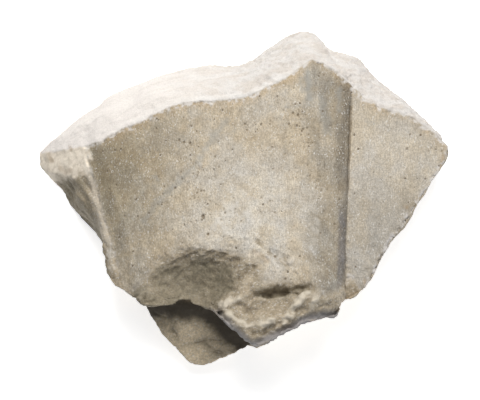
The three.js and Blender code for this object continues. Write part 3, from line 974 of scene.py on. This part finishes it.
def make_surface():
    """The stone's fine surface, as an object in the frame, and its masks."""
    piece = copy_stone()
    pits = choose_pits()
    refine_near(piece, pits)
    mesh = piece.data
    points = read_rows(mesh.vertices, "co", 3) / MM
    edges = read_rows(mesh.edges, "vertices", 2, np.int32)
    beyond = past_top_edge(points)
    carved, in_breaks, from_foot = shape_front(points, read_normals(mesh), beyond)
    points = smoothed(points, edges, 0.5 * (1 - carved), SMOOTHING_ROUNDS, SMOOTHING_PUSH)
    write_points(mesh, points)
    normals = read_normals(mesh)
    arris = arris_distance(points, edges, carved)
    on_facet = ramp(beyond, 0.1, 0.6) * ramp(normals[:, 2], 0.0, 0.3) * (1 - carved)
    fresh = np.maximum(fresh_share(points, normals, carved), on_facet)
    bed = bed_share(normals)
    fall = pit_fall(points, pits, carved)
    groove = groove_fall(points) * carved
    broken = broken_relief(points, fresh, carved, arris) * (1 - bed)
    strokes = stroke_height(points, normals)
    at_foot = foot_share(points, from_foot, in_breaks)
    cloud = noise(points, 2.2, 51, 3)
    masks = tone_masks(points, carved, cloud)
    masks.update(mark_masks(points, carved, fresh, arris, cloud))
    masks.update(break_masks(points, carved, fresh, arris, cloud))
    masks.update(relief_masks(points, carved, broken + strokes, strokes, masks["stump"]))
    # Painted shade in the pits and the groove, darker where they are deeper
    masks["deep"] = np.maximum(0.8 * ramp(fall, 0.15, 0.6), 0.4 * ramp(groove, 0.3, 0.8))
    # The bevel along the foot, which takes a painted bluish shade
    masks["foot"] = at_foot
    relief = carved_relief(points, carved, arris) + broken
    points += normals * relief[:, None]
    points[:, 2] += bed_relief(points, bed) - fall - groove + strokes - FOOT_BEVEL * at_foot
    low, high = (np.array(corner) / MM for corner in cad_box)
    write_points(mesh, clamp(points, low, high))
    return piece, masks


def finish_surface(piece, masks):
    """Stores the masks, brings the mesh under its triangle limit and shades it smooth."""
    mesh = piece.data
    for name, values in masks.items():
        layer = mesh.attributes.new(name, "FLOAT", "POINT")
        layer.data.foreach_set("value", values.astype(np.float32))
    triangles = sum(len(face.vertices) - 2 for face in mesh.polygons)
    if triangles > MOST_TRIANGLES:
        replace_mesh(piece, "DECIMATE", ratio=MOST_TRIANGLES / triangles)
    piece.data.polygons.foreach_set("use_smooth", [True] * len(piece.data.polygons))


# Stage


def make_floor():
    bpy.ops.mesh.primitive_plane_add(size=FLOOR_SIZE * MM)
    floor = bpy.context.object
    floor.name = "floor"
    paper = bpy.data.materials.new("paper")
    paper.use_nodes = True
    shader = paper.node_tree.nodes["Principled BSDF"]
    shader.inputs["Base Color"].default_value = (*FLOOR_COLOUR, 1)
    shader.inputs["Roughness"].default_value = FLOOR_ROUGHNESS
    shader.inputs["Emission Color"].default_value = (1, 1, 1, 1)
    shader.inputs["Emission Strength"].default_value = FLOOR_GLOW
    floor.data.materials.append(paper)


def make_light(name, azimuth, elevation, distance, size, power, colour):
    """A square soft light aimed at the stone. Azimuth turns from +X towards +Y."""
    data = bpy.data.lights.new(name, "AREA")
    data.size = size * MM
    data.energy = power
    data.color = colour
    turn = math.radians(azimuth)
    climb = math.radians(elevation)
    away = Vector((math.cos(turn) * math.cos(climb), math.sin(turn) * math.cos(climb), math.sin(climb)))
    light = bpy.data.objects.new(name, data)
    light.location = away * distance * MM
    light.rotation_euler = away.to_track_quat("Z", "Y").to_euler()
    bpy.context.scene.collection.objects.link(light)


def make_surroundings():
    world = bpy.data.worlds.new("surroundings")
    world.use_nodes = True
    sky = world.node_tree.nodes["Background"]
    sky.inputs["Color"].default_value = (*SKY_COLOUR, 1)
    sky.inputs["Strength"].default_value = SKY_STRENGTH
    bpy.context.scene.world = world
    bpy.context.scene.view_settings.view_transform = "Standard"
    for light in LIGHTS:
        make_light(*light)


# Material


class Shading:
    """Short calls that add nodes to one material."""

    def __init__(self, name):
        self.material = bpy.data.materials.new(name)
        self.material.use_nodes = True
        self.tree = self.material.node_tree
        self.shader = self.tree.nodes["Principled BSDF"]
        coordinates = self.tree.nodes.new("ShaderNodeTexCoord")
        self.place = self.math_vector("MULTIPLY", coordinates.outputs["Object"], (1 / MM, 1 / MM, 1 / MM))

    def give(self, socket, value):
        """Links an output to a socket, or sets the socket to a constant."""
        if isinstance(value, bpy.types.NodeSocket):
            self.tree.links.new(value, socket)
        else:
            socket.default_value = value

    def math(self, operation, first, second, kind="ShaderNodeMath"):
        node = self.tree.nodes.new(kind)
        node.operation = operation
        self.give(node.inputs[0], first)
        self.give(node.inputs[1], second)
        return node.outputs[0]

    def math_vector(self, operation, first, second):
        return self.math(operation, first, second, "ShaderNodeVectorMath")

    def mask(self, name):
        node = self.tree.nodes.new("ShaderNodeAttribute")
        node.attribute_name = name
        return node.outputs["Fac"]

    def noise(self, size, detail=3.0, rough=0.55, shift=0.0):
        """Noise from 0 to 1 that changes over size, in millimetres along x, y and z."""
        scaled = self.math_vector("DIVIDE", self.place, size)
        moved = self.math_vector("ADD", scaled, (shift, shift, shift))
        node = self.tree.nodes.new("ShaderNodeTexNoise")
        node.inputs["Scale"].default_value = 1.0
        node.inputs["Detail"].default_value = detail
        node.inputs["Roughness"].default_value = rough
        self.give(node.inputs["Vector"], moved)
        return node.outputs["Fac"]

    def between(self, value, low, high):
        """0 at low, 1 at high and smooth between."""
        node = self.tree.nodes.new("ShaderNodeMapRange")
        node.interpolation_type = "SMOOTHSTEP"
        self.give(node.inputs["Value"], value)
        node.inputs["From Min"].default_value = low
        node.inputs["From Max"].default_value = high
        return node.outputs["Result"]

    def mix(self, share, first, second, kind="MIX"):
        node = self.tree.nodes.new("ShaderNodeMix")
        node.data_type = "RGBA"
        node.blend_type = kind
        self.give(node.inputs["Factor"], share)
        for socket, value in ((node.inputs["A"], first), (node.inputs["B"], second)):
            plain = isinstance(value, tuple) and len(value) == 3
            self.give(socket, (*value, 1) if plain else value)
        return node.outputs["Result"]

    def grey(self, value, low, high):
        """A grey colour between low and high, as value goes from 0 to 1."""
        return self.mix(value, (low, low, low), (high, high, high))

    def cloud(self, size, low, high, detail=3.0, rough=0.55, shift=0.0):
        """Patches of noise: 0 where it is below low, 1 where it is above high."""
        return self.between(self.noise(size, detail, rough, shift), low, high)

    def cover(self, colour, share, paint, strength=1.0):
        """A colour covered with paint where a share says so, or where the mask of that name does."""
        share = self.mask(share) if isinstance(share, str) else share
        return self.mix(self.math("MULTIPLY", share, strength), colour, paint)

    def tint(self, colour, name, tint):
        """A colour multiplied by a tint where a mask says so."""
        return self.mix(self.mask(name), colour, tint, "MULTIPLY")

    def vary(self, colour, size, reach, rough, shift, share, darkest, lightest):
        """A colour made darker and lighter in patches."""
        patches = self.cloud(size, *reach, rough=rough, shift=shift)
        return self.mix(share, colour, self.grey(patches, darkest, lightest), "MULTIPLY")


def carved_colour(shade):
    """The worn, tan-patinated skin of the carved front, with painted shade on its sides and along the groove
    and painted light in its middle.
    """
    colour = shade.mix(shade.cloud((26, 30, 26), 0.35, 0.65, 2), PATINA, PATINA_PALE)
    mottle = shade.cloud((2.6, 3.2, 2.6), 0.42, 0.62, shift=7)
    lively = shade.math("SUBTRACT", 0.45, shade.math("MULTIPLY", shade.mask("calm"), 0.3))
    colour = shade.cover(colour, mottle, PATINA_DEEP, lively)
    # Wear and painted light in the middle of the body
    colour = shade.cover(colour, "worn", WORN_AND_LIGHT)
    # Grime and painted shade on the left of the body
    colour = shade.tint(colour, "dirt_and_shade", DIRT_AND_SHADE_TINT)
    # Grey tone and painted shade on the right of the body and the flange's low end
    colour = shade.tint(colour, "smoke_and_shade", SMOKE_AND_SHADE_TINT)
    colour = shade.cover(colour, "rim", RIM, 0.7)
    # Painted bluish shade and painted reflected light on the steep side by the groove
    colour = shade.tint(colour, "cool_shade", COOL_SHADE_TINT)
    # Painted shade along the groove
    colour = shade.tint(colour, "groove_shade", GROOVE_SHADE_TINT)
    colour = shade.tint(colour, "calm", FLANGE_HINT)
    warmth = shade.cloud((9, 12, 9), 0.36, 0.64, shift=29)
    colour = shade.mix(0.55, colour, shade.mix(warmth, COOL_HINT, WARM_HINT), "MULTIPLY")
    for variation in (FRONT_BLOTCHES, FRONT_STREAKS, FRONT_GRAIN):
        colour = shade.vary(colour, *variation)
    patch = shade.cloud((3.5, 5, 4), 0.36, 0.6, shift=17)
    # White crystals with painted glints
    fleck = shade.cloud((0.5, 0.95, 0.7), 0.56, 0.66, rough=0.65, shift=13)
    colour = shade.cover(colour, shade.math("MULTIPLY", fleck, patch), CRYSTAL_AND_GLINT, 0.75)
    speck = shade.cloud((0.45, 0.8, 0.6), 0.44, 0.34, rough=0.65, shift=23)
    return shade.cover(colour, speck, PATINA_DEEP, 0.55)


def small_pits(shade, upward=0.0):
    """Pinholes scattered over the carved front, from 0 to 1, as found this far up the front."""
    cells = shade.tree.nodes.new("ShaderNodeTexVoronoi")
    cells.inputs["Scale"].default_value = 1.0
    waver = shade.math("MULTIPLY", shade.noise((0.8, 0.8, 0.8), 2, shift=71), 0.9)
    place = shade.math_vector("ADD", shade.math_vector("ADD", shade.place, waver), (0, upward, 0))
    shade.give(cells.inputs["Vector"], shade.math_vector("DIVIDE", place, PINHOLE_SPACING))
    wide = shade.math("MULTIPLY", shade.between(cells.outputs["Color"], 0.3, 0.85), 0.2)
    inside = shade.math("SUBTRACT", wide, cells.outputs["Distance"])
    clusters = shade.cloud((11, 13, 11), 0.38, 0.52, 2, shift=61)
    pits = shade.math("MULTIPLY", shade.between(inside, 0.0, 0.04), clusters)
    return shade.math("MULTIPLY", pits, shade.mask("carved"))


def broken_colour(shade):
    """Old breaks: brown, darkest with grime and painted shade in the scoop and on the left wall, yellow and
    lighter with painted light on the tongue, pale with painted light on the stump, with painted highlights on
    crests and painted shade in hollows.
    """
    cloud = shade.cloud((9, 9, 9), 0.38, 0.62, shift=31)
    colour = shade.mix(cloud, OLD_BREAK, OLD_BREAK_WARM)
    # Painted light: the yellow tongue is made much lighter
    colour = shade.cover(colour, "tongue", TONGUE_BREAK_AND_LIGHT)
    # White crystals with painted glints
    fleck = shade.cloud((0.9, 0.7, 0.8), 0.54, 0.66, rough=0.65, shift=67)
    colour = shade.cover(colour, fleck, CRYSTAL_AND_GLINT, 0.5)
    # Grime and painted shade in the scoop, slit and left wall
    dull_and_shade = shade.mix(cloud, DULL_AND_SHADE_BREAK, OLD_BREAK)
    colour = shade.cover(colour, "dull_and_shade", shade.mix(0.75, dull_and_shade, DULL_AND_SHADE_BREAK))
    colour = shade.vary(colour, *BREAK_GRAIN)
    crumbs = shade.cloud((2.6, 2.2, 2.4), 0.42, 0.66, 4, 0.65, 73)
    # Pale stump with painted light
    stump = shade.cover(STUMP_BREAK_AND_LIGHT, crumbs, OLD_BREAK_WARM, 0.4)
    colour = shade.cover(colour, "stump", stump, 0.9)
    # Painted highlights on crests and ridges, painted shade in hollows
    colour = shade.cover(colour, "high", BREAK_CREST_HIGHLIGHT, 0.6)
    colour = shade.cover(colour, "ridge_highlight", RIDGE_HIGHLIGHT, 0.55)
    colour = shade.cover(colour, "low", BREAK_HOLLOW_SHADE, 0.7)
    # Painted bluish shade on the foot's bevel
    colour = shade.cover(colour, "foot", FOOT_COOL_SHADE, 0.9)
    # The tongue's cracks and the painted shadow under the lip
    return shade.cover(colour, "crack_and_shadow", CRACK_AND_SHADOW)


def fresh_colour(shade):
    """The new break across the top, sugary and nearly white."""
    colour = shade.mix(shade.cloud((7, 4, 7), 0.38, 0.64, shift=41), FRESH, FRESH_WARM)
    # Painted light on the smooth left part of the new break
    colour = shade.cover(colour, "smooth", FRESH_SMOOTH_AND_LIGHT)
    colour = shade.vary(colour, *FRESH_GRAIN)
    return shade.cover(colour, "crease", FRESH_BRIGHT, 0.4)


def make_marble():
    """The stone's one material, mixed by its masks."""
    shade = Shading("marble")
    colour = shade.cover(broken_colour(shade), "carved", carved_colour(shade))
    colour = shade.cover(colour, "fresh", fresh_colour(shade))
    colour = shade.cover(colour, "vein", VEIN)
    colour = shade.cover(colour, "pale", PALE)
    colour = shade.cover(colour, "stain", STAIN)
    colour = shade.cover(colour, "chip", FRESH)
    # Painted shade in the pits and the groove
    colour = shade.cover(colour, "deep", PIT_FLOOR_SHADE)
    pits = small_pits(shade)
    # Painted highlight on the lower rim of each pinhole, from a copy shifted up
    colour = shade.cover(colour, small_pits(shade, PIT_HIGHLIGHT_SHIFT), CRYSTAL_AND_GLINT, 0.35)
    # Painted shade in the pinholes
    colour = shade.cover(colour, pits, PIT_FLOOR_SHADE, 0.9)
    shade.give(shade.shader.inputs["Base Color"], colour)
    grain = shade.noise((0.5, 0.7, 0.5), 3, 0.6, shift=53)
    shade.give(shade.shader.inputs["Roughness"], shade.grey(grain, *ROUGHNESS))
    bump = shade.tree.nodes.new("ShaderNodeBump")
    bump.inputs["Strength"].default_value = BUMP_STRENGTH
    bump.inputs["Distance"].default_value = BUMP_HEIGHT * MM
    shade.give(bump.inputs["Height"], shade.math("SUBTRACT", grain, pits))
    shade.give(shade.shader.inputs["Normal"], bump.outputs["Normal"])
    return shade.material


make_camera()
make_floor()
make_surroundings()
surface, surface_masks = make_surface()
finish_surface(surface, surface_masks)
surface.data.materials.append(make_marble())
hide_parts(NODE)
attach(surface, "root")
